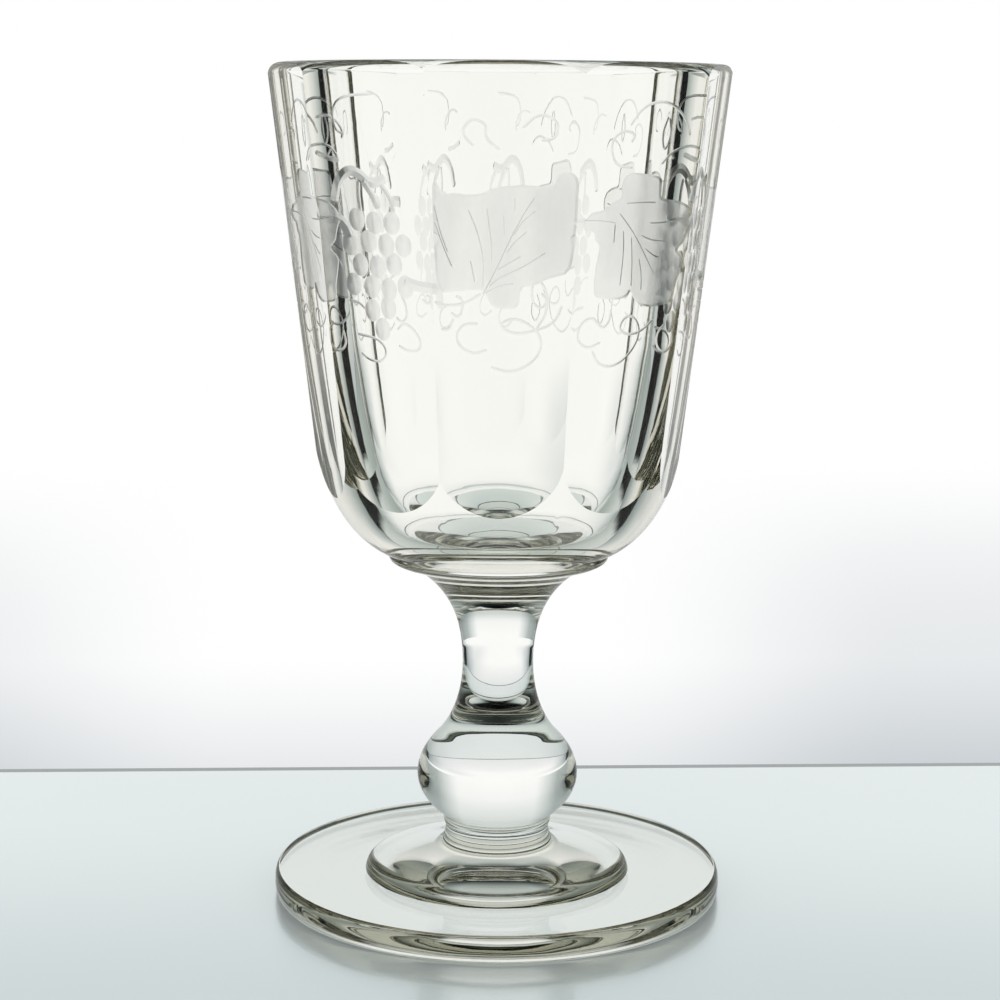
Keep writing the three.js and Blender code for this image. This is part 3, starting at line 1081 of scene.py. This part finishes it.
def table_shader(sums, y, on_edge, in_glass):
    """Frosted and matt glass under a polish, with a plain grey edge. Their colours carry painted shade,
    darker towards the front.
    """
    tree = sums.tree
    # Painted shade: the table's matt and frosted colours darken from the back towards the front
    far = sums.ramp(y, *TABLE_SHADE_SPAN)
    shaded_matt_colour = sums.blend(far, TABLE_MATT_SHADED_NEAR, TABLE_MATT_LIT_FAR)
    matt = add_node(tree, "ShaderNodeBsdfDiffuse",
                    Color=sums.blend(on_edge, shaded_matt_colour, TABLE_EDGE_COLOUR))
    shaded_frosted_colour = sums.blend(far, TABLE_FROSTED_SHADED_NEAR, TABLE_FROSTED_LIT_FAR)
    frosted = add_node(tree, "ShaderNodeBsdfAnisotropic", Roughness=TABLE_FROSTED_ROUGHNESS,
                       Color=sums.blend(on_edge, shaded_frosted_colour, TABLE_EDGE_COLOUR))
    frosted.distribution = "MULTI_GGX"
    clear = add_node(tree, "ShaderNodeBsdfTransparent", Color=TABLE_CLEAR_COLOUR)
    shown_clear = sums.do("MULTIPLY", in_glass, sums.rest(on_edge))
    body = mixed_shader(tree, shown_clear, mixed_shader(tree, TABLE_FROSTED_SHARE, matt, frosted), clear)
    polish = add_node(tree, "ShaderNodeBsdfAnisotropic", Roughness=TABLE_POLISH_ROUGHNESS)
    gloss = add_node(tree, "ShaderNodeFresnel", IOR=TABLE_POLISH_IOR)
    return mixed_shader(tree, gloss.outputs[0], body, polish)


def floor_material():
    """The table, and past its far edge the backdrop, which glass sees as the studio lights it."""
    material, tree, output = shader("table")
    sums = Sums(tree)
    x, y, _ = sums.split(tree.nodes.new("ShaderNodeNewGeometry").outputs["Position"])
    past = sums.do("SUBTRACT", y, sums.do("MULTIPLY_ADD", x, TABLE_EDGE_SLOPE, TABLE_EDGE))
    on_edge = sums.do("GREATER_THAN", past, 0.0)
    beyond = sums.do("GREATER_THAN", past, TABLE_EDGE_WIDTH)
    in_glass = sums.seen_in_glass()

    away = sums.do("SQRT", sums.do("ADD", sums.do("POWER", x, 2.0), sums.do("POWER", y, 2.0)))
    skew = sums.do("MULTIPLY", sums.ramp(away, *GAP_SKEW_SPAN), GAP_SKEW)
    turn = sums.do("SUBTRACT", sums.turned_away(x, y), skew)
    in_gap = sums.do("MULTIPLY", sums.hump(turn, GAP_TURN, GAP_HALF, GAP_FADE),
                     sums.do("MULTIPLY", in_glass, sums.ramp(away, *GAP_NEAR_SPAN)))

    # Painted shade greys the backdrop near the table and towards the sides
    backdrop = sums.blend(painted_backdrop_shade(sums, x, past), WHITE, BACKDROP_SHADE_COLOUR)
    # Painted shade: seen in glass, the backdrop darkens by how far round from the back of the room it lies
    lit = tree.nodes.new("ShaderNodeVectorMath")
    lit.operation = "MULTIPLY"
    tree.links.new(backdrop, lit.inputs[0])
    tree.links.new(sums.tinted(sums.graph(turn, ROUND_LEVEL)), lit.inputs[1])
    wall = add_node(tree, "ShaderNodeEmission", Color=sums.blend(in_glass, backdrop, lit.outputs[0]))
    plain = add_node(tree, "ShaderNodeBsdfDiffuse", Color=PLAIN_COLOUR)
    far = mixed_shader(tree, sums.seen_by_camera(), plain, wall)
    whole = mixed_shader(tree, beyond, table_shader(sums, y, on_edge, in_glass), far)
    # Painted shade: glass sees the table black where it looks towards the unlit gap beside the white sheet
    gap = add_node(tree, "ShaderNodeEmission", Color=(DARKEST, DARKEST, DARKEST, 1))
    seen = mixed_shader(tree, in_gap, whole, gap)
    tree.links.new(seen.outputs[0], output.inputs["Surface"])
    return material


def make_floor():
    mesh = bpy.data.meshes.new("table")
    far = FLOOR_REACH
    mesh.from_pydata([(-far, -far, -FLOOR_DROP), (far, -far, -FLOOR_DROP),
                      (far, far, -FLOOR_DROP), (-far, far, -FLOOR_DROP)], [], [(0, 1, 2, 3)])
    mesh.materials.append(floor_material())
    table = bpy.data.objects.new("table", mesh)
    bpy.context.scene.collection.objects.link(table)


def make_world():
    """White light all round, and for the goblet's glass the studio by direction."""
    world = bpy.data.worlds.new("studio")
    bpy.context.scene.world = world
    world.use_nodes = True
    tree = world.node_tree
    sums = Sums(tree)
    background = tree.nodes["Background"]
    x, y, z = sums.split(tree.nodes.new("ShaderNodeTexCoord").outputs["Generated"])
    rise = sums.do("ARCSINE", z)
    fall = sums.do("MULTIPLY", rise, -1.0)
    turn = sums.turned_away(x, y)

    lamp = sums.do("MULTIPLY", sums.hump(rise, LAMP_RISE, LAMP_HALF_RISE, LAMP_FADE),
                   sums.hump(turn, LAMP_TURN, LAMP_HALF_TURN, LAMP_FADE))
    above = sums.do("MULTIPLY", sums.graph(turn, ROUND_ABOVE), sums.graph(rise, RISE))
    above = sums.do("MAXIMUM", above, sums.do("MULTIPLY", lamp, LAMP_BRIGHTNESS))
    in_gap = sums.do("MULTIPLY", sums.hump(turn, GAP_TURN + GAP_SKEW, GAP_HALF, GAP_FADE),
                     sums.rest(sums.ramp(rise, *GAP_RISE_SPAN)))
    above = sums.do("MAXIMUM", DARKEST, sums.do("MULTIPLY", above, sums.rest(in_gap)))

    front = sums.do("MULTIPLY", sums.ramp(turn, *FRONT_TURN_SPAN), sums.ramp(fall, *FRONT_FALL_SPAN))
    steep = sums.do("MULTIPLY", sums.ramp(turn, *STEEP_TURN_SPAN), sums.ramp(fall, *STEEP_FALL_SPAN))
    below = sums.do("MULTIPLY", sums.graph(turn, ROUND_BELOW), sums.graph(fall, FALL))
    below = sums.do("MULTIPLY", below, sums.rest(sums.do("MAXIMUM", front, steep)))
    below = sums.do("MAXIMUM", DARKEST, below)

    under = sums.do("GREATER_THAN", fall, HORIZON_FALL)
    brightness = sums.do("MULTIPLY_ADD", sums.do("SUBTRACT", below, above), under, above)
    studio = sums.blend(sums.seen_in_glass(), WHITE, sums.tinted(brightness))
    tree.links.new(studio, background.inputs["Color"])
    background.inputs["Strength"].default_value = 1.0


def make_camera():
    data = bpy.data.cameras.new("camera")
    data.lens = CAMERA_LENS
    camera = bpy.data.objects.new("camera", data)
    bpy.context.scene.collection.objects.link(camera)
    place = Matrix.Translation(Vector((CAMERA_ASIDE, -CAMERA_DISTANCE, CAMERA_HEIGHT)))
    tilt = Matrix.Rotation(math.pi / 2 - CAMERA_PITCH, 4, "X")
    roll = Matrix.Rotation(CAMERA_ROLL, 4, "Z")
    camera.matrix_world = place @ tilt @ roll
    data.clip_start = CAMERA_CLIP
    bpy.context.scene.camera = camera


make_camera()
make_world()
make_floor()
make_foot()
make_wafer()
make_stem()
make_merese()
make_bowl()

scene = bpy.context.scene
scene.view_settings.view_transform = "Standard"
scene.cycles.max_bounces = MAX_BOUNCES
scene.cycles.transmission_bounces = MAX_BOUNCES
scene.cycles.glossy_bounces = MIRROR_BOUNCES
scene.cycles.transparent_max_bounces = CLEAR_BOUNCES
